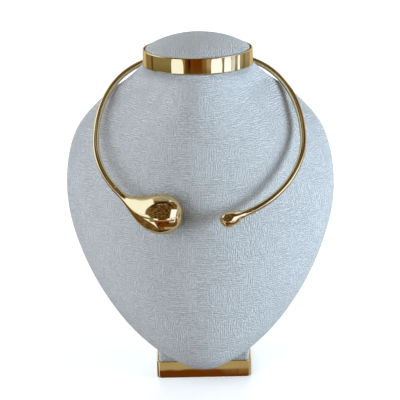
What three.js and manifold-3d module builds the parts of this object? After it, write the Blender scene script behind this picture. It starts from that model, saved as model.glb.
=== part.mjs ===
// Collar choker necklace, resting on a plain neck bust stand.
//
// Millimetres, +Z up, +X to the wearer's left, the chest faces -Y. The origin lies on the table,
// straight below the middle of the neck, inside the face that the foot stands on.
import * as THREE from 'three';
import Module from 'manifold-3d';
import { mergeVertices } from 'three/addons/utils/BufferGeometryUtils.js';

// ---------------------------------------------------------------- driving sizes

const GAP = 0.3; // between pieces that touch

// Each arc of an outline is drawn with twice as many flats as its segments say.

// The collar is one polished wire, bent to an oval in a plane that leans over the chest.
const WIRE_RADIUS = 2;
const WIRE_STEPS = 110;
const WIRE_SEGMENTS = 5;
const COLLAR = {
  halfWidth: 65.4,
  nape: { y: 36.4, z: 198.5 }, // middle of the wire behind the neck
  throat: { y: -50.5, z: 111.6 }, // where the closed oval would cross the chest
  widestAt: 0.52, // share of the way from nape to throat
  napeFullness: 1.22, // 1 is a plain ellipse, more makes the nape squarer
  leftEnd: -125, // degrees round from the nape
  rightEnd: 151,
};

// Each end of the wire carries a drop: a ball that tapers back to the wire, with a thin lip.
const LARGE_DROP = {
  ball: { x: -23.4, y: -52.4, z: 117.8 },
  heading: { x: 0.9, y: -0.42, z: 0.06 }, // the way the axis runs into the ball
  radius: 12.5,
  taper: 34,
  rings: 22,
  sides: 24,
};
const SMALL_DROP = {
  ball: { x: 16.5, y: -51.4, z: 113 },
  heading: { x: -0.93, y: -0.26, z: -0.25 },
  radius: 4.9,
  taper: 12.5,
  rings: 16,
  sides: 16,
};
const LIP = { radius: 2.4, length: 0.9, fall: 0.2 }; // fall: share of its length back to the stem
const STEM_RADIUS = 2.1;

// Horizontal sections of the padded chest, from its point up to the neck. front, side and back say
// where along Y the middle of the front, the widest place and the middle of the back lie. The turns
// say how round the section comes to its side: a turn as long as the way from side to front or back
// makes a plain ellipse, and a shorter one a fuller middle.
const CHEST_SECTIONS = [
  { z: 9.5, halfWidth: 0, front: -39, side: -39, back: -39, frontTurn: 0, backTurn: 0 },
  { z: 12, halfWidth: 11.3, front: -44.5, side: -38, back: -31.5, frontTurn: 6, backTurn: 6 },
  { z: 20, halfWidth: 31.4, front: -48.5, side: -24, back: -2, frontTurn: 20, backTurn: 20 },
  { z: 36, halfWidth: 52.8, front: -50.5, side: -6, back: 18, frontTurn: 38, backTurn: 30 },
  { z: 62, halfWidth: 71.6, front: -50, side: 7, back: 26, frontTurn: 46, backTurn: 26 },
  { z: 94, halfWidth: 84.2, front: -46.5, side: 16, back: 31, frontTurn: 41, backTurn: 22 },
  { z: 124, halfWidth: 86.4, front: -42, side: 20.5, back: 34, frontTurn: 32, backTurn: 20 },
  { z: 152, halfWidth: 79.7, front: -38, side: 22.5, back: 36, frontTurn: 23, backTurn: 19 },
  { z: 172, halfWidth: 63.2, front: -35, side: 25.5, back: 38.5, frontTurn: 16, backTurn: 15 },
  { z: 186, halfWidth: 45.8, front: -33, side: 21, back: 38, frontTurn: 15, backTurn: 16 },
  { z: 194, halfWidth: 38.6, front: -32.2, side: 11, back: 35.6, frontTurn: 21, backTurn: 22 },
  { z: 199.6, halfWidth: 34.9, front: -31.5, side: 0, back: 32, frontTurn: 31.5, backTurn: 32 },
];
const MIRRORED_BELOW_POINT = ['halfWidth', 'frontTurn', 'backTurn'];
const CHEST_STEPS = 4; // rings between two sections
const CHEST_SIDES = 48;
const CHEST_CLEARANCE = 0.5; // between the chest's skin and the foot under it

// The polished band round the neck, and the cushion that stands out of it.
const NECK_BAND = { halfWidth: 34.6, halfDepth: 31.2, wall: 1, bottom: 200, top: 210.2 };
const BAND_SEGMENTS = 30;
const CAP = {
  crown: 8.7, // height above the band
  fullness: 2.5, // 2 is a plain dome, and more is squarer
  rings: 9,
  sides: 48,
};

// The foot is a leatherette block with a polished band round its bottom edge.
const FOOT = { width: 60.6, front: -30, back: 27, corner: 3.5, height: 31 };
const FOOT_BAND = { wall: 1, height: 11.4 };
const CORNER_SEGMENTS = 3;

// ---------------------------------------------------------------- materials

const gold = (name) => {
  return new THREE.MeshStandardMaterial({ name, color: 0xd8ae62, roughness: 0.08, metalness: 1 });
};
const leatherette = (name) => {
  return new THREE.MeshStandardMaterial({ name, color: 0xb9c0c9, roughness: 0.6, metalness: 0 });
};

// ---------------------------------------------------------------- shared shapes

// A closed skin over rings of equal count, with a point at each end: a pole, or the middle of a
// flat end. The rings run so that the faces point away from the axis.
function closedLoft(start, rings, end) {
  const sides = rings[0].length;
  const points = [start, ...rings.flat(), end];
  const at = (ring, side) => 1 + ring * sides + (side % sides);
  const last = points.length - 1;
  const faces = [];
  for (let s = 0; s < sides; s++) {
    faces.push(0, at(0, s + 1), at(0, s));
    for (let r = 0; r + 1 < rings.length; r++) {
      faces.push(at(r, s), at(r, s + 1), at(r + 1, s + 1));
      faces.push(at(r, s), at(r + 1, s + 1), at(r + 1, s));
    }
    faces.push(last, at(rings.length - 1, s), at(rings.length - 1, s + 1));
  }
  const geometry = new THREE.BufferGeometry().setFromPoints(points);
  geometry.setIndex(faces);
  geometry.computeVertexNormals();
  return geometry;
}

// A rectangle with round corners, between two Y values and centred on X.
function roundedRectangle(width, front, back, corner, Outline = THREE.Shape) {
  const x = width / 2 - corner;
  const outline = new Outline();
  outline.absarc(x, front + corner, corner, -Math.PI / 2, 0);
  outline.absarc(x, back - corner, corner, 0, Math.PI / 2);
  outline.absarc(-x, back - corner, corner, Math.PI / 2, Math.PI);
  outline.absarc(-x, front + corner, corner, Math.PI, Math.PI * 1.5);
  outline.closePath();
  return outline;
}

function extruded(shape, bottom, top, curveSegments) {
  const geometry = new THREE.ExtrudeGeometry(shape, {
    depth: top - bottom,
    bevelEnabled: false,
    curveSegments,
  });
  return geometry.translate(0, 0, bottom);
}

function named(name, geometry, material) {
  const mesh = new THREE.Mesh(geometry, material(name));
  mesh.name = name;
  return mesh;
}

// ---------------------------------------------------------------- collar

// The wire's middle line. Going round by the angle phi from the nape, the way across is a sine and
// the way from nape to throat a cosine, which is made fuller towards the nape.
function collarPoint(degrees) {
  const phi = THREE.MathUtils.degToRad(degrees);
  const { halfWidth, nape, throat, widestAt, napeFullness } = COLLAR;
  const c = Math.cos(phi);
  const full = napeFullness * c + (1 - napeFullness) * c ** 3;
  const share = c > 0 ? widestAt * (1 - full) : widestAt - (1 - widestAt) * c;
  return new THREE.Vector3(
    halfWidth * Math.sin(phi),
    THREE.MathUtils.lerp(nape.y, throat.y, share),
    THREE.MathUtils.lerp(nape.z, throat.z, share),
  );
}

class CollarCurve extends THREE.Curve {
  getPoint(t, target = new THREE.Vector3()) {
    return target.copy(collarPoint(THREE.MathUtils.lerp(COLLAR.leftEnd, COLLAR.rightEnd, t)));
  }
}

function collarWire() {
  const section = new THREE.Shape().absarc(0, 0, WIRE_RADIUS, 0, Math.PI * 2);
  return new THREE.ExtrudeGeometry(section, {
    steps: WIRE_STEPS,
    curveSegments: WIRE_SEGMENTS,
    extrudePath: new CollarCurve(),
  });
}

// The drop's axis leaves the wire's end along the wire and comes into the ball on its heading.
function dropAxis(drop, endDegrees) {
  const outward = Math.sign(endDegrees);
  const end = collarPoint(endDegrees);
  const along = end.clone().sub(collarPoint(endDegrees - outward)).normalize();
  const joint = end.clone().addScaledVector(along, GAP);
  const ball = new THREE.Vector3().copy(drop.ball);
  const heading = new THREE.Vector3().copy(drop.heading).normalize();
  const reach = joint.distanceTo(ball) / 3;
  return new THREE.CubicBezierCurve3(
    joint,
    joint.clone().addScaledVector(along, reach),
    ball.clone().addScaledVector(heading, -reach),
    ball,
  );
}

// Radius of a drop at a distance from its joint, for an axis of this length: the lip, then a
// cosine swell from the stem to the ball, then the ball's own round.
function dropRadius(drop, distance, length) {
  if (distance > length) return Math.sqrt(Math.max(0, drop.radius ** 2 - (distance - length) ** 2));
  const swell = Math.cos((Math.PI / 2) * Math.min(1, (length - distance) / drop.taper)) ** 2;
  const body = STEM_RADIUS + (drop.radius - STEM_RADIUS) * swell;
  return distance < LIP.length ? Math.max(LIP.radius, body) : body;
}

function dropOnEnd(drop, endDegrees) {
  const axis = dropAxis(drop, endDegrees);
  const length = axis.getLength();
  const frames = axis.computeFrenetFrames(drop.rings);
  const ringAt = (centre, frame, radius) => {
    return Array.from({ length: drop.sides }, (_, side) => {
      const turn = (side / drop.sides) * Math.PI * 2;
      return centre
        .clone()
        .addScaledVector(frames.normals[frame], radius * Math.cos(turn))
        .addScaledVector(frames.binormals[frame], radius * Math.sin(turn));
    });
  };
  const stationAt = (distance) => {
    const share = Math.min(1, distance / length);
    const frame = Math.round(share * drop.rings);
    const centre = axis.getPointAt(share);
    centre.addScaledVector(frames.tangents[frame], Math.max(0, distance - length));
    return ringAt(centre, frame, dropRadius(drop, distance, length));
  };
  const stations = [0, LIP.length * 0.99, LIP.length * (1 + LIP.fall)];
  for (let i = 2; i <= drop.rings; i++) stations.push((i / drop.rings) * length);
  const ballSteps = drop.rings / 2;
  for (let i = 1; i < ballSteps; i++) {
    stations.push(length + drop.radius * Math.sin((Math.PI / 2) * (i / ballSteps)));
  }
  const tip = axis.getPointAt(1).addScaledVector(frames.tangents[drop.rings], drop.radius);
  return closedLoft(axis.getPointAt(0), stations.map(stationAt), tip);
}

// ---------------------------------------------------------------- bust

// A smooth run through the sections (Catmull-Rom), where t counts sections. Below the point of the
// chest the run is mirrored, so that the point comes out round.
function sectionAt(t) {
  const rows = CHEST_SECTIONS;
  const i = Math.min(Math.floor(t), rows.length - 2);
  const u = t - i;
  const mix = {};
  for (const key of Object.keys(rows[0])) {
    const mirrored = MIRRORED_BELOW_POINT.includes(key) ? -rows[1][key] : rows[1][key];
    const before = i > 0 ? rows[i - 1][key] : mirrored;
    const from = rows[i][key];
    const to = rows[i + 1][key];
    const after = i + 2 < rows.length ? rows[i + 2][key] : 2 * to - from;
    const leaving = (to - before) / 2;
    const arriving = (after - from) / 2;
    mix[key] =
      from +
      leaving * u +
      (3 * (to - from) - 2 * leaving - arriving) * u ** 2 +
      (leaving + arriving - 2 * (to - from)) * u ** 3;
  }
  return mix;
}

// One horizontal ring. Across it goes as a sine; along Y it falls away from the side as the cosine
// times turn, plus the cosine cubed times what is left up to the front or the back.
function chestRing(t, grow) {
  const { z, halfWidth, front, side, back, frontTurn, backTurn } = sectionAt(t);
  return Array.from({ length: CHEST_SIDES }, (_, i) => {
    const theta = (i / CHEST_SIDES) * Math.PI * 2;
    const c = Math.cos(theta);
    const reach = (c > 0 ? side - front : back - side) + grow;
    const turn = (c > 0 ? frontTurn : backTurn) + grow;
    const fall = turn * c + (reach - turn) * c ** 3;
    return new THREE.Vector3((halfWidth + grow) * Math.sin(theta), side - fall, z);
  });
}

function chest(grow = 0) {
  const count = (CHEST_SECTIONS.length - 1) * CHEST_STEPS;
  const rings = Array.from({ length: count }, (_, i) => chestRing((i + 1) / CHEST_STEPS, grow));
  const point = sectionAt(0);
  const top = sectionAt(CHEST_SECTIONS.length - 1);
  return closedLoft(
    new THREE.Vector3(0, point.side, point.z - grow),
    rings,
    new THREE.Vector3(0, top.side, top.z),
  );
}

function neckBand() {
  const { halfWidth, halfDepth, wall, bottom, top } = NECK_BAND;
  const ring = new THREE.Shape().absellipse(0, 0, halfWidth, halfDepth, 0, Math.PI * 2);
  const inside = new THREE.Path();
  inside.absellipse(0, 0, halfWidth - wall, halfDepth - wall, 0, Math.PI * 2);
  ring.holes.push(inside);
  return extruded(ring, bottom, top, BAND_SEGMENTS);
}

// A shallow cushion turned about the neck's axis, then squeezed to the neck's depth. Its crown
// falls with a power of the distance from the middle.
function neckCap() {
  const { halfWidth, halfDepth, wall, bottom, top } = NECK_BAND;
  const radius = halfWidth - wall - GAP;
  const profile = [new THREE.Vector2(0, bottom), new THREE.Vector2(radius, bottom)];
  for (let i = 0; i <= CAP.rings; i++) {
    const share = Math.cos((i / CAP.rings) * (Math.PI / 2));
    profile.push(new THREE.Vector2(radius * share, top + CAP.crown * (1 - share ** CAP.fullness)));
  }
  return new THREE.LatheGeometry(profile, CAP.sides)
    .rotateX(Math.PI / 2)
    .scale(1, (halfDepth - wall - GAP) / radius, 1);
}

// ---------------------------------------------------------------- foot

const wasm = await Module();
wasm.setup();

function toSolid(geometry) {
  const bare = geometry.clone();
  bare.deleteAttribute('normal');
  bare.deleteAttribute('uv');
  const merged = mergeVertices(bare, 1e-4);
  return new wasm.Manifold(
    new wasm.Mesh({
      numProp: 3,
      vertProperties: new Float32Array(merged.attributes.position.array),
      triVerts: new Uint32Array(merged.index.array),
    }),
  );
}

function toGeometry(solid) {
  const mesh = solid.getMesh();
  const geometry = new THREE.BufferGeometry();
  geometry.setAttribute('position', new THREE.BufferAttribute(mesh.vertProperties, mesh.numProp));
  geometry.setIndex(new THREE.BufferAttribute(mesh.triVerts, 1));
  geometry.computeVertexNormals();
  return geometry;
}

// The block behind the chest's point, cut to the chest's underside.
function standFoot() {
  const inset = FOOT_BAND.wall + GAP;
  const block = extruded(
    roundedRectangle(
      FOOT.width - 2 * inset,
      FOOT.front + inset,
      FOOT.back - inset,
      FOOT.corner - inset,
    ),
    0,
    FOOT.height,
    CORNER_SEGMENTS,
  );
  return toGeometry(toSolid(block).subtract(toSolid(chest(CHEST_CLEARANCE))));
}

function footBand() {
  const { width, front, back, corner } = FOOT;
  const { wall, height } = FOOT_BAND;
  const ring = roundedRectangle(width, front, back, corner);
  const inside = roundedRectangle(
    width - 2 * wall,
    front + wall,
    back - wall,
    corner - wall,
    THREE.Path,
  );
  ring.holes.push(inside);
  return extruded(ring, 0, height, CORNER_SEGMENTS);
}

// ---------------------------------------------------------------- assembly

const necklace = new THREE.Group();
necklace.add(
  named('collar_wire', collarWire(), gold),
  named('large_drop', dropOnEnd(LARGE_DROP, COLLAR.leftEnd), gold),
  named('small_drop', dropOnEnd(SMALL_DROP, COLLAR.rightEnd), gold),
);

const bust = new THREE.Group();
bust.add(
  named('bust_form', chest(), leatherette),
  named('neck_band', neckBand(), gold),
  named('neck_cap', neckCap(), leatherette),
  named('stand_foot', standFoot(), leatherette),
  named('foot_band', footBand(), gold),
);

const collarOnBust = new THREE.Group();
collarOnBust.add(necklace, bust);

export default collarOnBust;
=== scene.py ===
"""A rigid gold-tone collar with a large and a small drop, on a plain padded neck bust.

Metres, +Z up, +X to the wearer's left, the chest faces -Y. The CAD model is the frame, and each
piece below is made in its place.
"""

import math

import bpy
import numpy as np
from mathutils import Matrix, Vector


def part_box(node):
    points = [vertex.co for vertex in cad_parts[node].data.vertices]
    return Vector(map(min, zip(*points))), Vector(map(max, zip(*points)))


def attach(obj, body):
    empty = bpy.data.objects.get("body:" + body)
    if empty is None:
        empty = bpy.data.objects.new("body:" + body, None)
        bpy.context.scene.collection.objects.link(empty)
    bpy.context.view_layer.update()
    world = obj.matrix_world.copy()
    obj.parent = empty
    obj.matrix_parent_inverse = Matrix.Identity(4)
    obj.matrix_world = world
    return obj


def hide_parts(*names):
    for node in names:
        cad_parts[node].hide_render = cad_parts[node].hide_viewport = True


bl_info = {
    "name": "Collar on a neck bust",
    "version": (1, 0, 0),
    "blender": (4, 5, 0),
    "location": "3D Viewport > Sidebar > Collar",
    "description": "Makes a gold-tone collar, its neck bust and a studio stage",
    "category": "Add Mesh",
}

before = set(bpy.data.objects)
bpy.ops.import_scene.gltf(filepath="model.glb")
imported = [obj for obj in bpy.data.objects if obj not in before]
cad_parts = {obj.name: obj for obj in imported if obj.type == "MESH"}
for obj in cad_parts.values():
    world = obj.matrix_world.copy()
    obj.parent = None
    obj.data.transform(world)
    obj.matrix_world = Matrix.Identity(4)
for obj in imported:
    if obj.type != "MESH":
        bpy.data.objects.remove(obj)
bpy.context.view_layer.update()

MM = 0.001

# Horizontal sections of the padded chest in millimetres, from its point up to the neck: height,
# half width, the front, side and back along Y, and how round the front and the back come in.
CHEST_SECTIONS = MM * np.array([
    [9.5, 0, -39, -39, -39, 0, 0],
    [12, 11.3, -44.5, -38, -31.5, 6, 6],
    [20, 31.4, -48.5, -24, -2, 20, 20],
    [36, 52.8, -50.5, -6, 18, 38, 30],
    [62, 71.6, -50, 7, 26, 46, 26],
    [94, 84.2, -46.5, 16, 31, 41, 22],
    [124, 86.4, -42, 20.5, 34, 32, 20],
    [152, 79.7, -38, 22.5, 36, 23, 19],
    [172, 63.2, -35, 25.5, 38.5, 16, 15],
    [186, 45.8, -33, 21, 38, 15, 16],
    [194, 38.6, -32.2, 11, 35.6, 21, 22],
    [199.6, 34.9, -31.5, 0, 32, 31.5, 32],
])
# The second section seen from the far side of the point: its half width and its turns change sign.
MIRROR_BELOW_POINT = np.array([1, -1, 1, 1, 1, -1, -1])


# ---------------------------------------------------------------- sizes and colours


def half_size(node, axis):
    """Half of a CAD node's size along an axis."""
    low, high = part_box(node)
    return (high[axis] - low[axis]) / 2


def low_end(node, axis):
    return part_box(node)[0][axis]


def high_end(node, axis):
    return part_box(node)[1][axis]


def length(name, description, default):
    return bpy.props.FloatProperty(
        name=name, description=description, default=default, unit="LENGTH", precision=5
    )


def place(name, description, default):
    return bpy.props.FloatVectorProperty(
        name=name, description=description, default=default, subtype="TRANSLATION", unit="LENGTH"
    )


def heading(name, description, default):
    return bpy.props.FloatVectorProperty(
        name=name, description=description, default=default, subtype="DIRECTION"
    )


def angle(name, description, degrees):
    return bpy.props.FloatProperty(
        name=name, description=description, default=math.radians(degrees), subtype="ANGLE"
    )


def share(name, description, default):
    return bpy.props.FloatProperty(name=name, description=description, default=default)


def colour(name, description, default):
    return bpy.props.FloatVectorProperty(
        name=name, description=description, default=default, subtype="COLOR", min=0, max=1
    )


class CollarSizes(bpy.types.PropertyGroup):
    """The wire's oval and the joints at its two ends."""

    wire_radius: length("Wire radius", "Half the wire's thickness", 2 * MM)
    half_width: length("Half width", "Half the oval's width along the wire's middle", 65.4 * MM)
    nape: place("Nape", "Middle of the wire behind the neck", (0, 36.4 * MM, 198.5 * MM))
    throat: place("Throat", "Where the closed oval crosses the chest", (0, -50.5 * MM, 111.6 * MM))
    widest_at: share("Widest at", "Share of the way from nape to throat", 0.52)
    nape_fullness: share("Nape fullness", "1 is an ellipse, and more is squarer", 1.22)
    right_joint: angle("Large drop's joint", "Angle round from the nape", -125)
    left_joint: angle("Small drop's joint", "Angle round from the nape", 151)
    stem_radius: length("Stem radius", "A drop's thin end", 2.1 * MM)
    lip_radius: length("Lip radius", "The lip where a drop meets the wire", 2.45 * MM)
    lip_length: length("Lip length", "The lip's length along the wire", 0.9 * MM)
    joint_gap: length("Joint gap", "Hairline between the wire and a lip", 0.06 * MM)


class LargeDropSizes(bpy.types.PropertyGroup):
    """The ball on the wearer's right and its long taper."""

    ball: place("Ball", "Centre of the ball", (-23.4 * MM, -52.4 * MM, 117.8 * MM))
    heading: heading("Heading", "The way the axis runs into the ball", (0.9, -0.42, 0.06))
    radius: length("Radius", "Radius of the ball", 12.5 * MM)
    taper: length("Taper", "Length over which the stem swells to the ball", 34 * MM)


class SmallDropSizes(bpy.types.PropertyGroup):
    """The bead on the wearer's left and its short taper."""

    ball: place("Ball", "Centre of the bead", (16.5 * MM, -51.4 * MM, 113 * MM))
    heading: heading("Heading", "The way the axis runs into the bead", (-0.93, -0.26, -0.25))
    radius: length("Radius", "Radius of the bead", 4.9 * MM)
    taper: length("Taper", "Length over which the stem swells to the bead", 12.5 * MM)


class BustSizes(bpy.types.PropertyGroup):
    """The chest, the neck's cushion and band, and the foot."""

    seam_width: length("Seam width", "The seam down the middle of the back", 1.6 * MM)
    seam_depth: length("Seam depth", "How far the seam draws in", 1.2 * MM)
    band_wall: length("Band wall", "Thickness of the metal strip", 1 * MM)
    band_edge: length("Band edge", "Radius of the strip's rolled edges", 0.42 * MM)
    crown: length("Crown", "Height of the cushion above the band", 8.7 * MM)
    cushion_fullness: share("Cushion fullness", "2 is a plain dome, and more is squarer", 2.5)
    cushion_roll: length("Cushion roll", "Radius where the cushion tucks into the band", 1.6 * MM)
    tuck_gap: length("Tuck gap", "Between the cushion and the band", 0.5 * MM)
    neck_bow: length("Neck band bow", "How far the neck band's face swells out", 0.06 * MM)
    foot_bow: length("Foot band bow", "How far the foot band's face swells out", 0.1 * MM)
    foot_corner: length("Foot corner", "Radius of the foot's upright corners", 3.5 * MM)
    cover_gap: length("Cover gap", "Between the foot's cover and its band", 0.3 * MM)


class Finishes(bpy.types.PropertyGroup):
    """Colours of the gold, the leatherette and the floor."""

    gold: colour("Gold", "Polished gold-tone plate", (0.93, 0.77, 0.44))
    gold_worn: colour("Handled gold", "Gold where fingers have dulled it", (0.84, 0.67, 0.36))
    gold_rim: colour("Gold at a glance", "Gold seen along its surface", (0.74, 0.57, 0.32))
    leather: colour("Leatherette", "Raised grain of the cover", (0.54, 0.545, 0.545))
    leather_valley: colour("Leatherette valleys", "Between the grain", (0.30, 0.303, 0.303))
    floor: colour("Floor", "Pale studio floor", (0.97, 0.97, 0.975))


# ---------------------------------------------------------------- shader building


class Shade:
    """One output socket of a shader node. Arithmetic on it adds Math nodes to its tree."""

    def __init__(self, kit, socket):
        self.kit = kit
        self.socket = socket

    def math(self, operation, *others, **settings):
        settings["operation"] = operation
        return self.kit.node("ShaderNodeMath", settings, [self, *others])

    def __add__(self, other):
        return self.math("ADD", other)

    __radd__ = __add__

    def __sub__(self, other):
        return self.math("SUBTRACT", other)

    def __rsub__(self, other):
        return self.kit.node("ShaderNodeMath", {"operation": "SUBTRACT"}, [other, self])

    def __mul__(self, other):
        return self.math("MULTIPLY", other)

    __rmul__ = __mul__

    def __truediv__(self, other):
        return self.math("DIVIDE", other)

    def __rtruediv__(self, other):
        return self.kit.node("ShaderNodeMath", {"operation": "DIVIDE"}, [other, self])

    def __pow__(self, other):
        return self.math("POWER", other)

    def __abs__(self):
        return self.math("ABSOLUTE")


class ShaderKit:
    """Adds nodes to one shader tree, which it empties first."""

    def __init__(self, tree):
        self.tree = tree
        tree.nodes.clear()

    def node(self, kind, settings=None, inputs=(), output=0):
        """A node of a kind, with its settings, then its sockets' values or links."""
        node = self.tree.nodes.new(kind)
        for name, value in (settings or {}).items():
            setattr(node, name, value)
        pairs = inputs.items() if isinstance(inputs, dict) else enumerate(inputs)
        for key, value in pairs:
            if isinstance(value, Shade):
                self.tree.links.new(value.socket, node.inputs[key])
            else:
                node.inputs[key].default_value = value
        return Shade(self, node.outputs[output]) if len(node.outputs) else None

    def coordinate(self, output):
        return self.node("ShaderNodeTexCoord", output=output)

    def vector(self, operation, *values, output=0):
        return self.node("ShaderNodeVectorMath", {"operation": operation}, list(values), output)

    def axis(self, vector, index):
        return self.node("ShaderNodeSeparateXYZ", inputs=[vector], output=index)

    def noise(self, vector, scale, detail=2.0, roughness=0.5):
        """Smooth noise from 0 to 1, with scale in features for each unit of the vector."""
        inputs = {"Vector": vector, "Scale": scale, "Detail": detail, "Roughness": roughness}
        return self.node("ShaderNodeTexNoise", inputs=inputs)

    def ramp(self, value, low, high):
        """0 below low, 1 above high, and a smooth step between. It runs down if low is above high."""
        settings = {"interpolation_type": "SMOOTHSTEP"}
        ends = (low, high, 0.0, 1.0) if low < high else (high, low, 1.0, 0.0)
        return self.node("ShaderNodeMapRange", settings, [value, *ends])

    def between(self, value, low, high, soft):
        """1 between low and high, with edges as wide as soft."""
        rise = self.ramp(value, low - soft / 2, low + soft / 2)
        return rise * self.ramp(value, high + soft / 2, high - soft / 2)

    def mix(self, factor, one, other):
        """The colour one where factor is 0, other where it is 1."""
        settings = {"data_type": "RGBA"}
        return self.node("ShaderNodeMix", settings, {0: factor, 6: one, 7: other}, 2)

    def bump(self, height, strength, distance, **under):
        """A bumped normal, which can have another under it as Normal."""
        inputs = {"Height": height, "Strength": strength, "Distance": distance, **under}
        return self.node("ShaderNodeBump", inputs=inputs)

    def surface(self, **sockets):
        """The principled shader, joined to the material's output."""
        named = {name.replace("_", " "): value for name, value in sockets.items()}
        shader = self.node("ShaderNodeBsdfPrincipled", inputs=named)
        self.node("ShaderNodeOutputMaterial", inputs=[shader])


def new_material(name):
    material = bpy.data.materials.new(name)
    material.use_nodes = True
    return material, ShaderKit(material.node_tree)


def opaque(values):
    return (*values, 1.0)


# Polishing hairlines: features in a metre along X, Y and Z, and how deep they are.
HAIRLINES = (3800, 3800, 260)
HAIRLINE_DEPTH = 0.01 * MM


def polished_gold(name, finishes, wave_height, wave_scale):
    """Mirror plate: faint waves from rolling or casting, dulled here and there by handling."""
    material, kit = new_material(name)
    at = kit.coordinate("Object")
    smudge = kit.ramp(kit.noise(at, 55, 4, 0.6), 0.5, 0.72)
    speck = kit.ramp(kit.noise(at, 1400, 2, 0.6), 0.66, 0.78)
    waves = kit.bump(kit.noise(at, wave_scale, 1), 1.0, wave_height)
    hairlines = kit.noise(kit.vector("MULTIPLY", at, HAIRLINES), 1, 1)
    kit.surface(
        Base_Color=kit.mix(smudge * 0.5, opaque(finishes.gold), opaque(finishes.gold_worn)),
        Metallic=1.0,
        Specular_Tint=opaque(finishes.gold_rim),
        Roughness=0.035 + 0.05 * smudge + 0.06 * speck,
        Normal=kit.bump(hairlines, 0.05, HAIRLINE_DEPTH, Normal=waves),
    )
    return material


# The leatherette's strokes: their pitch, their depth, and how many pitches each one wanders.
# The wandering has so many features in a metre along X, Y and Z.
GRAIN_PITCH = 1.35 * MM
GRAIN_DEPTH = 0.4 * MM
GRAIN_WANDER = 1.7
LEVEL_STROKES = (260, 260, 600)
UPRIGHT_STROKES = (600, 600, 260)

# The way round a standing cover is an angle about an upright axis, which crosses Y at the centre,
# times a radius. Covers are shallow behind that axis, so depth there counts for more: it keeps
# the strokes a pitch apart.
GIRTH_RADIUS = 62 * MM
GIRTH_CENTRE = 10 * MM
BACK_DEEPENED = 2.6


def stroke_ridges(kit, at, way, stretch):
    """Ridges a pitch apart along a way: a sine that wanders, so that each stroke is short."""
    wander = kit.noise(kit.vector("MULTIPLY", at, stretch), 1, 1) * GRAIN_WANDER
    return ((way / GRAIN_PITCH + wander) * math.tau).math("SINE") * 0.5 + 0.5


def leatherette(name, finishes, lying=False):
    """Pale cover with a crossed grain: short level strokes and short upright ones, in patches.

    On a cover that stands the level strokes are a pitch apart in height, and the upright ones
    a pitch apart round its girth. On one that lies flat they are crossed along X and Y."""
    material, kit = new_material(name)
    at = kit.coordinate("Object")
    x, y, z = (kit.axis(at, index) for index in range(3))
    up = y + z if lying else z
    ahead = (y - GIRTH_CENTRE) * -1
    ahead = ahead.math("MINIMUM", ahead * BACK_DEEPENED)
    along = x if lying else x.math("ARCTAN2", ahead) * GIRTH_RADIUS
    level = stroke_ridges(kit, at, up, LEVEL_STROKES)
    upright = stroke_ridges(kit, at, along, UPRIGHT_STROKES)
    patch = kit.ramp(kit.noise(at, 95, 1), 0.46, 0.60)
    grain = level * (1 - patch) + upright * patch
    pores = kit.ramp(kit.noise(at, 1150, 1), 0.35, 0.65)
    mottle = kit.noise(at, 30, 3)
    tone = grain * 0.6 + pores * 0.3 + mottle * 0.1
    kit.surface(
        Base_Color=kit.mix(tone, opaque(finishes.leather_valley), opaque(finishes.leather)),
        Roughness=0.58 - 0.12 * grain,
        Normal=kit.bump(grain * 0.55 + pores * 0.6, 1.0, GRAIN_DEPTH),
    )
    return material


# ---------------------------------------------------------------- surfaces


def finish_mesh(name, points, faces, material, cad_node):
    """Puts points and faces into a new smooth mesh, and hands the piece to the frame."""
    mesh = bpy.data.meshes.new(name)
    mesh.from_pydata(points.tolist(), [], faces)
    mesh.polygons.foreach_set("use_smooth", np.ones(len(mesh.polygons), bool))
    mesh.materials.append(material)
    mesh.validate()
    mesh.update()
    piece = bpy.data.objects.new(name, mesh)
    bpy.context.collection.objects.link(piece)
    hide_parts(cad_node)
    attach(piece, "root")
    return piece


def closed_skin(rings, start, end):
    """Points and faces of a skin over rings (ring, side, xyz), closed by a point at each end.

    Seen from the start, each ring runs anticlockwise, so that the faces point outwards."""
    count, sides = rings.shape[:2]
    ring, side = np.meshgrid(np.arange(count - 1), np.arange(sides), indexing="ij")
    here = 1 + ring * sides + side
    beside = 1 + ring * sides + (side + 1) % sides
    walls = np.stack([here, beside, beside + sides, here + sides], -1).reshape(-1, 4)
    around = np.arange(sides)
    after = (around + 1) % sides
    last = 1 + count * sides
    near = np.stack([np.zeros(sides, int), 1 + after, 1 + around], -1)
    far = last - sides + np.stack([around, after], -1)
    far = np.column_stack([np.full(sides, last), far])
    points = np.vstack([[start], rings.reshape(-1, 3), [end]])
    return points, walls.tolist() + near.tolist() + far.tolist()


def looped_strip(profiles):
    """Points and faces of a closed hoop: profiles (place round the hoop, point of profile, xyz)."""
    count, sides = profiles.shape[:2]
    hoop, side = np.meshgrid(np.arange(count), np.arange(sides), indexing="ij")
    here = hoop * sides + side
    beside = hoop * sides + (side + 1) % sides
    onward = ((hoop + 1) % count) * sides + side
    both = ((hoop + 1) % count) * sides + (side + 1) % sides
    return profiles.reshape(-1, 3), np.stack([here, onward, both, beside], -1).reshape(-1, 4).tolist()


def unit(vectors):
    """Vectors along the last axis, each made one long."""
    return vectors / np.linalg.norm(vectors, axis=-1, keepdims=True)


# ---------------------------------------------------------------- collar


def wire_middle(sizes, phi):
    """Middle line of the collar at angles phi from the nape.

    Across it is half the width times the sine. From nape to throat the cosine is made fuller
    behind the neck: fullness times the cosine, plus the rest times its cube."""
    cosine = np.cos(phi)
    full = sizes.nape_fullness * cosine + (1 - sizes.nape_fullness) * cosine**3
    behind = sizes.widest_at * (1 - full)
    ahead = sizes.widest_at - (1 - sizes.widest_at) * cosine
    way = np.where(cosine > 0, behind, ahead)[:, None]
    nape, throat = np.array(sizes.nape), np.array(sizes.throat)
    across = sizes.half_width * np.sin(phi)
    return nape + (throat - nape) * way + across[:, None] * [1, 0, 0]


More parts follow.
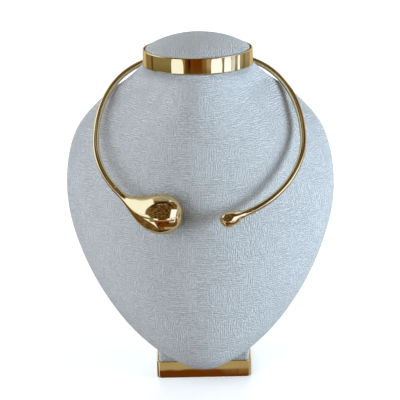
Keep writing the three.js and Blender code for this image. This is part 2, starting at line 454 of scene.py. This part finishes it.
# Rings that round the wire's cut ends: how far each is from the cut, and how far it is drawn in.
FROM_CUT = MM * np.array([0, 0.04, 0.12, 0.2])
DRAWN_IN = MM * np.array([0.2, 0.08, 0.02, 0])


def wire_surface(sizes):
    """A circle carried along the middle line: centre plus radius times the cosine across the
    line in the oval's plane and the sine along that plane's normal. The last rings shrink, to
    round the cut ends."""
    phi = np.linspace(sizes.right_joint, sizes.left_joint, 520)
    middle = wire_middle(sizes, phi)
    ahead = unit(np.gradient(middle, axis=0))
    normal = unit(np.cross([1, 0, 0], np.array(sizes.throat) - np.array(sizes.nape)))[None]
    across = unit(np.cross(ahead, normal))
    turn = np.linspace(0, 2 * np.pi, 40, endpoint=False)[None, :, None]
    ring = np.cos(turn) * across[:, None] + np.sin(turn) * normal[:, None]
    body = middle[:, None] + sizes.wire_radius * ring
    first = middle[0] + FROM_CUT[:, None, None] * ahead[0]
    first = first + (sizes.wire_radius - DRAWN_IN)[:, None, None] * ring[0]
    last = middle[-1] - FROM_CUT[::-1, None, None] * ahead[-1]
    last = last + (sizes.wire_radius - DRAWN_IN[::-1])[:, None, None] * ring[-1]
    rings = np.concatenate([first, body[1:-1], last])
    return closed_skin(rings[:, ::-1], middle[0], middle[-1])


def drop_axis(sizes, drop, phi, steps):
    """Points at even distances along a cubic curve from the wire's end to the ball's centre.

    The curve leaves along the wire and comes in on the drop's heading, with both handles a
    third of the straight way long."""
    step = math.copysign(0.01, phi)
    end, before = wire_middle(sizes, np.array([phi, phi - step]))
    along = unit(end - before)
    joint = end + along * sizes.joint_gap
    ball = np.array(drop.ball)
    reach = np.linalg.norm(ball - joint) / 3
    handles = [joint, joint + along * reach, ball - unit(np.array(drop.heading)) * reach, ball]
    t = np.linspace(0, 1, 2000)[:, None]
    weights = [(1 - t) ** 3, 3 * t * (1 - t) ** 2, 3 * t**2 * (1 - t), t**3]
    curve = sum(weight * handle for weight, handle in zip(weights, handles))
    way = np.concatenate([[0], np.cumsum(np.linalg.norm(np.diff(curve, axis=0), axis=1))])
    even = np.interp(steps * way[-1], way, np.arange(len(way)))
    low = np.minimum(even.astype(int), len(way) - 2)
    part = (even - low)[:, None]
    return curve[low] * (1 - part) + curve[low + 1] * part, way[-1]


# Share of the stem's radius at the very joint, which breaks the lip's edge.
JOINT_SHARE = 0.98


def drop_surface(sizes, drop, phi):
    """A round skin about the drop's axis.

    From the joint the radius is the stem's plus the rest times a squared cosine of the distance
    left to the ball, over the taper. Past the ball's centre it follows the ball. The lip is a
    rounded step added over its own length at the joint."""
    fine_steps = np.linspace(0, 0.06, 30, endpoint=False)  # over the lip
    steps = np.concatenate([fine_steps, np.linspace(0.06, 1, 120)])
    axis, way = drop_axis(sizes, drop, phi, steps)
    distance = steps * way
    left = np.minimum(1, (way - distance) / drop.taper)
    swell = np.cos(np.pi / 2 * left) ** 2
    radius = sizes.stem_radius + (drop.radius - sizes.stem_radius) * swell
    across_lip = np.clip(2 * distance / sizes.lip_length - 1, -1, 1)
    bead = np.sqrt(1 - across_lip**4)
    radius = radius + (sizes.lip_radius - sizes.stem_radius) * bead
    radius[0] = sizes.stem_radius * JOINT_SHARE
    ahead = unit(np.gradient(axis, axis=0))
    side = unit(np.cross(ahead, [0, 0, 1]))
    up = np.cross(side, ahead)
    turn = np.linspace(0, 2 * np.pi, 72, endpoint=False)[None, :, None]
    ring = np.cos(turn) * side[:, None] + np.sin(turn) * up[:, None]
    body = axis[:, None] + radius[:, None, None] * ring
    round_end = np.linspace(0, np.pi / 2, 40)[1:-1, None, None]
    centre, forward = axis[-1], ahead[-1]
    ball = centre + drop.radius * (np.sin(round_end) * forward + np.cos(round_end) * ring[-1])
    rings = np.concatenate([body, ball])
    return closed_skin(rings[:, ::-1], axis[0], centre + drop.radius * forward)


# ---------------------------------------------------------------- bust


def chest_rows(t):
    """The chest's section values at t, which counts rows: a Catmull-Rom run through the rows,
    mirrored below the point so that it comes out round, and carried straight on above."""
    rows = CHEST_SECTIONS
    below = rows[1] * MIRROR_BELOW_POINT
    padded = np.vstack([below, rows, 2 * rows[-1] - rows[-2]])
    i = np.minimum(t.astype(int), len(rows) - 2)
    u = (t - i)[:, None]
    before, start, end, after = padded[i], padded[i + 1], padded[i + 2], padded[i + 3]
    leaving, arriving = (end - before) / 2, (after - start) / 2
    rise = end - start
    square = 3 * rise - 2 * leaving - arriving
    cube = leaving + arriving - 2 * rise
    return start + leaving * u + square * u**2 + cube * u**3


def chest_points(rows, theta):
    """Rings of the chest: across it goes as half the width times the sine of theta; along Y it
    falls from the side as the cosine times the turn, plus its cube times what is left."""
    height, half, front, side, back, front_turn, back_turn = rows.T[:, :, None]
    sine, cosine = np.sin(theta), np.cos(theta)
    reach = np.where(cosine > 0, side - front, back - side)
    turn = np.where(cosine > 0, front_turn, back_turn)
    fall = turn * cosine + (reach - turn) * cosine**3
    return np.stack([half * sine, side - fall, np.broadcast_to(height, fall.shape)], -1)


def soft_unevenness(points, size):
    """Slow swells of the padding: a sum of sines of the place, from -1 to 1."""
    x, y, z = np.moveaxis(points, -1, 0) / size
    return (
        np.sin(1.7 * x + 0.6 * z + 0.4)
        + np.sin(2.3 * z - 0.9 * x + 1.9 * y)
        + np.sin(1.3 * y + 2.9 * x - 1.1 * z + 2.0)
    ) / 3


# Slow swells of a padded cover: how far they stand proud, and their rough distance apart.
CHEST_SWELL, CHEST_SWELL_SPAN = 0.12 * MM, 30 * MM
CUSHION_SWELL, CUSHION_SWELL_SPAN = 0.1 * MM, 9 * MM

# Beside the seam the padding stands proud by this share of the seam's depth.
SEAM_PUFF = 0.25


def chest_surface(sizes):
    """The chest's rings, set out by the swells of the padding. A seam down the middle of the
    back is drawn in as a bell curve of the distance from it, less a wider and lower one."""
    by_seam = np.array([0, 0.004, 0.008, 0.013, 0.019, 0.027, 0.038])
    plain = np.linspace(0.06, 2 * np.pi - 0.06, 190)
    theta = np.pi + np.concatenate([by_seam, plain, -by_seam[:0:-1]])
    by_point = [0.02, 0.07, 0.14]
    t = np.concatenate([by_point, np.linspace(0.25, len(CHEST_SECTIONS) - 1, 170)])
    rings = chest_points(chest_rows(t), theta)
    outward = np.stack([np.sin(theta), -np.cos(theta), np.zeros_like(theta)], -1)
    swell = soft_unevenness(rings, CHEST_SWELL_SPAN)[..., None] * CHEST_SWELL
    behind = np.cos(theta) < -0.9
    draw = np.exp(-((rings[..., 0] / (sizes.seam_width / 2)) ** 2)) * behind
    puff = np.exp(-((rings[..., 0] / (3 * sizes.seam_width)) ** 2)) * behind
    fade = np.clip(t / 2, 0, 1)[:, None]
    depth = sizes.seam_depth * (draw - SEAM_PUFF * puff) * fade
    rings = rings + (swell * fade[..., None] - depth[..., None]) * outward
    height, _, _, side, *_ = chest_rows(np.array([0.0]))[0]
    start = np.array([0, side, height])
    end = np.array([0, 0, rings[-1, 0, 2]])
    return closed_skin(rings, start, end)


# How far the cushion's edge rolls down, as a share of the roll's radius.
ROLL_DOWN = 0.75


def cushion_surface(sizes):
    """The neck's cushion: its crown falls with a power of the distance from the middle, and its
    edge rolls down on a flattened quarter round into the band."""
    wall = sizes.band_wall + sizes.tuck_gap
    across = half_size("neck_band", 0) - wall
    deep = half_size("neck_band", 1) - wall
    rim, bottom = high_end("neck_band", 2), low_end("neck_band", 2)
    roll = np.linspace(0, np.pi / 2, 14)
    inner = 1 - sizes.cushion_roll / across
    flat = np.linspace(inner, 0.02, 46)
    edge_share = inner + (1 - inner) * np.cos(roll)
    edge_drop = sizes.cushion_roll * (1 - np.sin(roll)) * ROLL_DOWN
    reach = np.concatenate([[1.0, 1.0], edge_share, flat[1:]])
    crown = sizes.crown * (1 - reach**sizes.cushion_fullness)
    height = rim + crown
    height[2 : 2 + len(roll)] -= edge_drop
    height[:2] = [bottom, bottom + 0.5 * (rim - bottom)]
    theta = np.linspace(0, 2 * np.pi, 160, endpoint=False)
    outline = np.stack([across * np.sin(theta), -deep * np.cos(theta)], -1)
    level = reach[:, None, None] * outline[None]
    rings = np.concatenate([level, np.broadcast_to(height[:, None, None], (*level.shape[:2], 1))], -1)
    lift = soft_unevenness(rings, CUSHION_SWELL_SPAN) * CUSHION_SWELL
    rings[..., 2] += lift * (1 - reach[:, None] ** 6)
    top = np.array([0, 0, rim + sizes.crown])
    return closed_skin(rings, np.array([0, 0, bottom]), top)


# A strip's inner edges have this share of the radius of its outer ones.
INNER_EDGE = 0.6


def strip_profile(wall, height, edge, bow):
    """Outline of a strip's cut edge, outside at 0, as distances outwards and heights.

    Two rolled outer corners and two smaller inner ones; the outer face between them bows out
    as a parabola, and has points close to the corners so that it keeps its own light."""
    inner = INNER_EDGE * edge
    quarters = (
        (edge, (-edge, edge)),
        (edge, (-edge, height - edge)),
        (inner, (inner - wall, height - inner)),
        (inner, (inner - wall, inner)),
    )
    corners = []
    for quarter, (radius, centre) in enumerate(quarters):
        turn = (quarter - 1) * np.pi / 2 + np.linspace(0, np.pi / 2, 7)
        corners.append(centre + radius * np.stack([np.cos(turn), np.sin(turn)], -1))
    rise = np.concatenate([[0.02, 0.06], np.linspace(0.12, 0.88, 7), [0.94, 0.98]])
    span = height - 2 * edge
    face = np.stack([4 * bow * rise * (1 - rise), edge + span * rise], -1)
    return np.concatenate([corners[0], face, *corners[1:]])


def hoop_surface(outline, bottom, height, bow, sizes):
    """A strip's profile carried round a level outline, each place turned to face straight out."""
    ahead = unit(np.roll(outline, -1, axis=0) - np.roll(outline, 1, axis=0))
    outward = np.stack([ahead[:, 1], -ahead[:, 0]], -1)
    profile = strip_profile(sizes.band_wall, height, sizes.band_edge, bow)
    level = outline[:, None] + profile[None, :, :1] * outward[:, None]
    rise = np.broadcast_to(bottom + profile[None, :, 1:], (*level.shape[:2], 1))
    return looped_strip(np.concatenate([level, rise], -1))


def rounded_rectangle(half, front, back, corner, per_corner, per_side):
    """Level outline with round corners, anticlockwise from above, from the front left on."""
    turn = np.linspace(0, np.pi / 2, per_corner)[:, None]
    centres = (
        (half - corner, front + corner, -np.pi / 2),
        (half - corner, back - corner, 0),
        (corner - half, back - corner, np.pi / 2),
        (corner - half, front + corner, np.pi),
    )
    arcs = []
    for x, y, first in centres:
        arc = np.hstack([x + corner * np.cos(first + turn), y + corner * np.sin(first + turn)])
        arcs.append(arc)
    along = np.linspace(0, 1, per_side + 2)[1:-1, None]
    outline = []
    for arc, following in zip(arcs, arcs[1:] + arcs[:1]):
        outline += [arc, arc[-1] + (following[0] - arc[-1]) * along]
    return np.concatenate(outline)


def underside(points, clearance):
    """Height of the chest's skin straight above level points: the first height at which a
    section of the chest, grown by the clearance, takes the point in."""
    t = np.linspace(0, len(CHEST_SECTIONS) - 1, 900)
    height, half, front, side, back, front_turn, back_turn = chest_rows(t).T
    x, y = points[:, 0, None], points[:, 1, None]
    level = np.clip(np.abs(x) / np.maximum(half + clearance, 1e-9), 0, 1)
    cosine = np.sqrt(1 - level**2)
    ahead = side - (front_turn * cosine + (side - front - front_turn) * cosine**3)
    behind = side + back_turn * cosine + (back - side - back_turn) * cosine**3
    inside = (np.abs(x) < half + clearance) & (y > ahead - clearance) & (y < behind + clearance)
    first = np.argmax(inside, axis=1)
    return np.where(inside.any(axis=1), height[first], np.inf)


# Room between the foot's cover and the chest's plain sections. The chest's swells and the puff
# beside its seam take up some of it.
CHEST_CLEARANCE = 0.95 * MM

# How far in the top edge of the foot's cover is rolled.
TOP_ROLL = 0.8 * MM


def foot_cover_surface(sizes):
    """The covered block behind the chest's point: its outline drawn up from the floor, and its
    top laid against the chest's underside or cut level, whichever is lower."""
    inset = sizes.band_wall + sizes.cover_gap
    half = half_size("foot_band", 0) - inset
    front, back = low_end("foot_band", 1) + inset, high_end("foot_band", 1) - inset
    corner = sizes.foot_corner - inset
    outline = rounded_rectangle(half, front, back, corner, per_corner=9, per_side=24)
    middle = np.array([0, (front + back) / 2])
    level_top = high_end("stand_foot", 2)
    up = np.concatenate([np.linspace(0, 0.94, 20), [0.975, 0.993, 1.0]])
    roll = np.array([0.0] * 20 + [0.12, 0.45, 1.0]) * TOP_ROLL
    outward = unit(outline - middle)
    shares = np.linspace(1, 0.03, 26)[1:]
    wall_top = np.minimum(underside(outline, CHEST_CLEARANCE), level_top)
    wall = outline[None] - roll[:, None, None] * outward[None]
    wall = np.concatenate([wall, (up[:, None] * wall_top[None])[..., None]], -1)
    across = middle + shares[:, None, None] * (wall[-1, :, :2] - middle)
    flat = across.reshape(-1, 2)
    rise = np.minimum(underside(flat, CHEST_CLEARANCE), level_top).reshape(across.shape[:2])
    lid = np.concatenate([across, rise[..., None]], -1)
    rings = np.concatenate([wall, lid])
    peak = min(float(underside(middle[None], CHEST_CLEARANCE)[0]), level_top)
    return closed_skin(rings, np.array([*middle, 0]), np.array([*middle, peak]))


# ---------------------------------------------------------------- operators


class MakeCollarWire(bpy.types.Operator):
    """Makes the collar's wire"""

    bl_idname = "necklace.make_collar_wire"
    bl_label = "Collar wire"

    def execute(self, context):
        scene = context.scene
        finishes = scene.finishes
        gold = polished_gold("collar_wire_gold", finishes, wave_height=0.02 * MM, wave_scale=60)
        points, faces = wire_surface(scene.collar)
        finish_mesh("collar_wire_round", points, faces, gold, "collar_wire")
        return {"FINISHED"}


class MakeDrops(bpy.types.Operator):
    """Makes the large and the small drop"""

    bl_idname = "necklace.make_drops"
    bl_label = "Drops"

    def execute(self, context):
        scene = context.scene
        gold = polished_gold("drop_gold", scene.finishes, wave_height=0.03 * MM, wave_scale=80)
        collar = scene.collar
        for name, drop, phi in (
            ("large_drop", scene.large_drop, collar.right_joint),
            ("small_drop", scene.small_drop, collar.left_joint),
        ):
            points, faces = drop_surface(collar, drop, phi)
            finish_mesh(f"{name}_polished", points, faces, gold, name)
        return {"FINISHED"}


class MakeChest(bpy.types.Operator):
    """Makes the padded chest"""

    bl_idname = "bust.make_chest"
    bl_label = "Padded chest"

    def execute(self, context):
        scene = context.scene
        cover = leatherette("chest_leatherette", scene.finishes)
        points, faces = chest_surface(scene.bust)
        chest = finish_mesh("padded_chest", points, faces, cover, "bust_form")
        return {"FINISHED"}


class MakeCushion(bpy.types.Operator):
    """Makes the cushion in the neck band"""

    bl_idname = "bust.make_cushion"
    bl_label = "Neck cushion"

    def execute(self, context):
        scene = context.scene
        cover = leatherette("cushion_leatherette", scene.finishes, lying=True)
        points, faces = cushion_surface(scene.bust)
        cushion = finish_mesh("neck_cushion", points, faces, cover, "neck_cap")
        return {"FINISHED"}


class MakeBands(bpy.types.Operator):
    """Makes the polished bands at the neck and the foot"""

    bl_idname = "bust.make_bands"
    bl_label = "Polished bands"

    def execute(self, context):
        scene = context.scene
        sizes = scene.bust
        gold = polished_gold("band_gold", scene.finishes, wave_height=0.04 * MM, wave_scale=90)
        theta = np.linspace(0, 2 * np.pi, 288, endpoint=False)
        across, deep = half_size("neck_band", 0), half_size("neck_band", 1)
        round_neck = np.stack([across * np.cos(theta), deep * np.sin(theta)], -1)
        foot = rounded_rectangle(
            half_size("foot_band", 0),
            low_end("foot_band", 1),
            high_end("foot_band", 1),
            sizes.foot_corner,
            per_corner=14,
            per_side=10,
        )
        for node, outline, bow in (
            ("neck_band", round_neck, sizes.neck_bow),
            ("foot_band", foot, sizes.foot_bow),
        ):
            bottom, top = low_end(node, 2), high_end(node, 2)
            points, faces = hoop_surface(outline, bottom, top - bottom, bow, sizes)
            finish_mesh(f"{node}_strip", points, faces, gold, node)
        return {"FINISHED"}


class MakeFootCover(bpy.types.Operator):
    """Makes the covered foot"""

    bl_idname = "bust.make_foot_cover"
    bl_label = "Covered foot"

    def execute(self, context):
        scene = context.scene
        cover = leatherette("foot_leatherette", scene.finishes)
        points, faces = foot_cover_surface(scene.bust)
        finish_mesh("covered_foot", points, faces, cover, "stand_foot")
        return {"FINISHED"}


# ---------------------------------------------------------------- stage


# The view: what it looks at, from how far and how high, how far it is rolled, how much it takes
# in across the target, how far it is shifted as shares of its width, and the nearest and the
# farthest it sees. Lengths are in metres, but the sensor's width is in millimetres.
VIEW_TARGET = Vector((0, -0.004, 0.106))
VIEW_DISTANCE = 1.25
VIEW_ELEVATION = math.radians(17.5)
VIEW_ROLL = math.radians(1.2)
VIEW_BREADTH = 0.256
VIEW_SHIFT = (-0.00225, 0.02)
VIEW_DEPTH = (0.05, 50)
SENSOR_WIDTH = 36.0

# The floor's reach each way in metres, and how much light of its own it gives.
FLOOR_REACH = 12
FLOOR_GLOW = 0.22

# Brightness and colour of the room that the metal mirrors.
LEFT_WINDOW = (1.02, 1.15, 1.42)
RIGHT_WINDOW = (1.08, 1.28, 1.85)
TAN = (0.38, 0.36, 0.33)
PALE_GREY = (0.50, 0.48, 0.48)
SHELF = (0.40, 0.34, 0.22)
AMBER = (0.30, 0.21, 0.09)
BRONZE = (0.22, 0.13, 0.045)
OLIVE = (0.24, 0.21, 0.11)
UMBER = (0.11, 0.065, 0.018)
EMBER = (0.17, 0.045, 0.008)
RED_BROWN = (0.13, 0.035, 0.003)
BLACK = (0.02, 0.008, 0.004)
BEHIND = (0.8, 0.8, 0.8)

# What is seen past the floor, and the soft light on all that doesn't mirror: from below, from
# above, and a broad glow from the left, brightest along its own direction.
BACKDROP = (1, 1, 1)
SOFT_BELOW = (0.30, 0.275, 0.245)
SOFT_ABOVE = (0.52, 0.475, 0.42)
SOFT_LEFT = (3.3, 3.65, 4.05)
LEFT_GLOW_FROM = (-0.88, -0.47, 0.08)

# Lights: azimuth off the front and elevation in degrees, distance and breadth in metres, power
# in watts.
DAYLIGHT = (0.70, 0.86, 1.0)
LIGHTS = {
    "light_right": (71, 3, 1.2, 0.5, 20.5),
    "light_far_right": (84, 3, 1.2, 0.6, 11),
    "light_behind": (180, 30, 1.5, 1.0, 14),
}


def make_camera():
    """A long lens from in front and a little above."""
    lens = bpy.data.cameras.new("view")
    lens.sensor_width = SENSOR_WIDTH
    lens.lens = SENSOR_WIDTH * VIEW_DISTANCE / VIEW_BREADTH
    lens.shift_x, lens.shift_y = VIEW_SHIFT
    lens.clip_start, lens.clip_end = VIEW_DEPTH
    camera = bpy.data.objects.new("view", lens)
    bpy.context.collection.objects.link(camera)
    back = Vector((0, -math.cos(VIEW_ELEVATION), math.sin(VIEW_ELEVATION)))
    turn = (-back).to_track_quat("-Z", "Y").to_matrix() @ Matrix.Rotation(-VIEW_ROLL, 3, "Z")
    camera.matrix_world = Matrix.Translation(VIEW_TARGET + back * VIEW_DISTANCE) @ turn.to_4x4()
    bpy.context.scene.camera = camera


def make_floor(finishes):
    """A wide pale floor with a soft gloss. The metal doesn't mirror it, and the covers take no
    light from it."""
    mesh = bpy.data.meshes.new("floor")
    square = ((-1, -1), (1, -1), (1, 1), (-1, 1))
    corners = [(x * FLOOR_REACH, y * FLOOR_REACH, 0) for x, y in square]
    mesh.from_pydata(corners, [], [(0, 1, 2, 3)])
    material, kit = new_material("floor_pale")
    cloud = kit.noise(kit.coordinate("Object"), 3, 2)
    kit.surface(
        Base_Color=opaque(finishes.floor),
        Roughness=0.22 + 0.06 * cloud,
        Specular_IOR_Level=0.3,
        Emission_Color=opaque(finishes.floor),
        Emission_Strength=FLOOR_GLOW,
    )
    mesh.materials.append(material)
    floor = bpy.data.objects.new("floor", mesh)
    bpy.context.collection.objects.link(floor)
    floor.visible_glossy = False
    floor.visible_diffuse = False


def make_light(name, azimuth, elevation, distance, breadth, power):
    """A soft round light aimed at the bust from an azimuth off the front and an elevation. The
    camera and the metal don't see it."""
    lamp = bpy.data.lights.new(name, "AREA")
    lamp.shape = "DISK"
    lamp.size = breadth
    lamp.energy = power
    lamp.color = DAYLIGHT
    light = bpy.data.objects.new(name, lamp)
    bpy.context.collection.objects.link(light)
    a, e = math.radians(azimuth), math.radians(elevation)
    away = Vector((math.sin(a) * math.cos(e), -math.cos(a) * math.cos(e), math.sin(e)))
    turn = away.to_track_quat("Z", "Y").to_matrix().to_4x4()
    light.matrix_world = Matrix.Translation(VIEW_TARGET + away * distance) @ turn
    light.visible_camera = False
    light.visible_glossy = False


def painted(kit, base, layers):
    """A colour with others laid over it, each where its mask is 1."""
    for mask, over in layers:
        base = kit.mix(mask, base, opaque(over))
    return base


def mirrored_ahead(kit, way):
    """The dim room in front, between two tall windows, laid out on a mirror ball: right and up
    run from -1 to 1 over a ball that is looked at from in front and a little above."""
    toward = (0, -math.cos(VIEW_ELEVATION), math.sin(VIEW_ELEVATION))
    upward = (0, math.sin(VIEW_ELEVATION), math.cos(VIEW_ELEVATION))
    halfway = kit.vector("NORMALIZE", kit.vector("ADD", way, toward))
    right = kit.axis(halfway, 0)
    up = kit.vector("DOT_PRODUCT", halfway, upward, output=1)
    spot = kit.node("ShaderNodeCombineXYZ", inputs=[right, up, 0.0])
    radius = (right**2 + up**2) ** 0.5
    clutter = kit.noise(spot, 8, 3, 0.6)
    dashes = kit.noise(kit.vector("MULTIPLY", spot, (7, 19, 1)), 1, 3, 0.6)
    middle = kit.ramp(abs(right + 0.04), 0.46, 0.3) * kit.ramp(abs(up), 0.62, 0.5)
    low_slant = right + 0.52 * up
    left_window = (
        kit.ramp(radius, 0.63, 0.67)
        * kit.ramp(up, -0.06, 0.0)
        * kit.ramp(right, -0.36, -0.42)
    )
    left_foot = kit.ramp(low_slant, -0.60, -0.64) * kit.ramp(up + 1.075 * right, -1.0, -0.95)
    left_foot = left_foot * kit.ramp(up, 0.0, -0.06)
    right_edge = right - 0.2 * up
    return painted(kit, opaque(UMBER), [
        # clutter, with a dull red patch low down, and dark shapes under a pale rail
        (kit.ramp(clutter, 0.46, 0.58), BRONZE),
        (kit.between(up, -0.66, -0.22, 0.1) * kit.ramp(abs(right), 0.36, 0.24), EMBER),
        (kit.between(up, 0.46, 0.50, 0.03) * middle, TAN),
        (kit.ramp(dashes, 0.50, 0.56) * middle, BLACK),
        (kit.between(radius, 0.55, 0.62, 0.04) * kit.ramp(up, 0.3, 0.4), BLACK),
        # the ceiling, the wall at the right, and the table's edge with the dark under it
        (kit.ramp(up, 0.62, 0.70), TAN),
        (kit.ramp(right, 0.68, 0.72), PALE_GREY),
        (kit.between(up, -0.74, -0.64, 0.04) * kit.ramp(right, 0.0, 0.1), TAN),
        (kit.ramp(up, -0.78, -0.82), BLACK),
        # the windows, and the ceiling again round the ball's rim
        (left_window, LEFT_WINDOW),
        (left_foot, LEFT_WINDOW),
        (kit.between(right_edge, 0.38, 0.66, 0.04) * kit.between(up, -0.40, 0.22, 0.06), RIGHT_WINDOW),
        (kit.between(right, 0.32, 0.62, 0.04) * kit.between(up, 0.62, 0.76, 0.04), RIGHT_WINDOW),
        (kit.ramp(radius, 0.86, 0.90) * kit.ramp(up, -0.1, 0.0), TAN),
    ])


def mirrored_low(kit, azimuth, height):
    """The strip of the room that the neck band's upright face looks at: stripes by azimuth,
    with round-headed windows, and darker towards its lower edge. Azimuth and height are in
    degrees."""

    def window(centre, half):
        """1 for half the window's breadth on each side of its centre, up to a round head."""
        head_from, head = -13.4, 3.2
        level = abs(azimuth - centre) / half
        rise = ((height - head_from) / head).math("MAXIMUM", 0.0)
        return kit.ramp(level**6 + rise**2, 1.1, 0.9)

    return painted(kit, opaque(TAN), [
        (kit.between(azimuth, -131, -52, 2), OLIVE),
        (kit.between(azimuth, -108, -102, 2), RED_BROWN),
        (kit.between(azimuth, -28, 25, 2), RED_BROWN),
        (kit.between(azimuth, -28, -24, 3), AMBER),
        (kit.between(azimuth, -18, -14, 3), BLACK),
        (kit.between(azimuth, -13, -9, 3), EMBER),
        (kit.between(azimuth, 8, 16, 5), BRONZE),
        (kit.between(azimuth, 16, 25, 4), SHELF),
        (kit.between(azimuth, 46, 52, 2), OLIVE),
        (kit.between(azimuth, 103, 112, 4), OLIVE),
        (kit.ramp(height, -12.5, -16.5) * 0.6, UMBER),
        (window(-40, 12.5), LEFT_WINDOW),
        (window(36, 11.5), RIGHT_WINDOW),
        (window(60, 8.5), RIGHT_WINDOW),
        (window(74, 4) * 0.6, RIGHT_WINDOW),
        (window(89, 3.5), RIGHT_WINDOW),
        (window(-118, 5) * 0.5, AMBER),
    ])


def make_surroundings():
    """What the metal mirrors, and for all else soft light from above, below and the left.

    The neck band's upright face mirrors the strip called low, and the foot band's the one
    called under. Azimuths are off the front, and they and heights are in degrees."""
    world = bpy.data.worlds.new("studio")
    bpy.context.scene.world = world
    world.use_nodes = True
    kit = ShaderKit(world.node_tree)
    way = kit.coordinate("Generated")
    x, y, z = (kit.axis(way, index) for index in range(3))
    azimuth = x.math("ARCTAN2", y * -1) * (180 / math.pi)
    height = z.math("ARCSINE") * (180 / math.pi)
    low = kit.between(height, -17.5, -9.3, 0.6)
    under = kit.between(height, -28, -17, 1.5) * kit.ramp(abs(azimuth), 75, 65)
    shelf = painted(kit, opaque(RED_BROWN), [
        (kit.ramp(azimuth, 0.3, 1.5) * kit.ramp(height, -26.5, -23) * 0.6, AMBER),
        (kit.ramp(height, -23.0, -21.6), SHELF),
    ])
    mirrored = kit.mix(low, mirrored_ahead(kit, way), mirrored_low(kit, azimuth, height))
    mirrored = kit.mix(under, mirrored, shelf)
    mirrored = kit.mix(kit.ramp(y, 0.6, 0.8), mirrored, opaque(BEHIND))
    glow = kit.vector("DOT_PRODUCT", way, LEFT_GLOW_FROM, output=1)
    soft = painted(kit, opaque(BLACK), [
        (kit.ramp(glow, 0.42, 0.95), SOFT_LEFT),
        (kit.ramp(z, 0.35, 0.85), SOFT_ABOVE),
        (kit.ramp(z, 0.0, -0.5), SOFT_BELOW),
    ])
    seen = kit.node("ShaderNodeLightPath", output="Is Camera Ray")
    glossy = kit.node("ShaderNodeLightPath", output="Is Glossy Ray")
    light = kit.mix(glossy, kit.mix(seen, soft, opaque(BACKDROP)), mirrored)
    background = kit.node("ShaderNodeBackground", inputs=[light, 1.0])
    kit.node("ShaderNodeOutputWorld", inputs=[background])


class MakeStage(bpy.types.Operator):
    """Makes the floor, the lights, the surroundings and the camera"""

    bl_idname = "bust.make_stage"
    bl_label = "Stage"

    def execute(self, context):
        make_floor(context.scene.finishes)
        make_surroundings()
        for name, light in LIGHTS.items():
            make_light(name, *light)
        make_camera()
        context.scene.view_settings.view_transform = "Standard"
        return {"FINISHED"}


class CollarPanel(bpy.types.Panel):
    """Lists the pieces and their sizes"""

    bl_idname = "VIEW3D_PT_collar"
    bl_label = "Collar on a neck bust"
    bl_space_type = "VIEW_3D"
    bl_region_type = "UI"
    bl_category = "Collar"

    def draw(self, context):
        for group in PROPERTY_GROUPS:
            box = self.layout.box()
            box.label(text=group)
            values = getattr(context.scene, group)
            for key in values.bl_rna.properties.keys():
                if key not in {"rna_type", "name"}:
                    box.prop(values, key)
        for operator in OPERATORS:
            self.layout.operator(operator.bl_idname)


PROPERTY_GROUPS = {
    "collar": CollarSizes,
    "large_drop": LargeDropSizes,
    "small_drop": SmallDropSizes,
    "bust": BustSizes,
    "finishes": Finishes,
}
OPERATORS = (
    MakeChest,
    MakeCushion,
    MakeBands,
    MakeFootCover,
    MakeCollarWire,
    MakeDrops,
    MakeStage,
)


def register():
    for cls in (*PROPERTY_GROUPS.values(), *OPERATORS, CollarPanel):
        bpy.utils.register_class(cls)
    for name, group in PROPERTY_GROUPS.items():
        setattr(bpy.types.Scene, name, bpy.props.PointerProperty(type=group))


def unregister():
    for name in PROPERTY_GROUPS:
        delattr(bpy.types.Scene, name)
    for cls in (CollarPanel, *reversed(OPERATORS), *PROPERTY_GROUPS.values()):
        bpy.utils.unregister_class(cls)


def main():
    register()
    for operator in OPERATORS:
        group, name = operator.bl_idname.split(".")
        if getattr(getattr(bpy.ops, group), name)() != {"FINISHED"}:
            raise RuntimeError(f"{operator.bl_label} was not made")


if __name__ == "__main__":
    main()
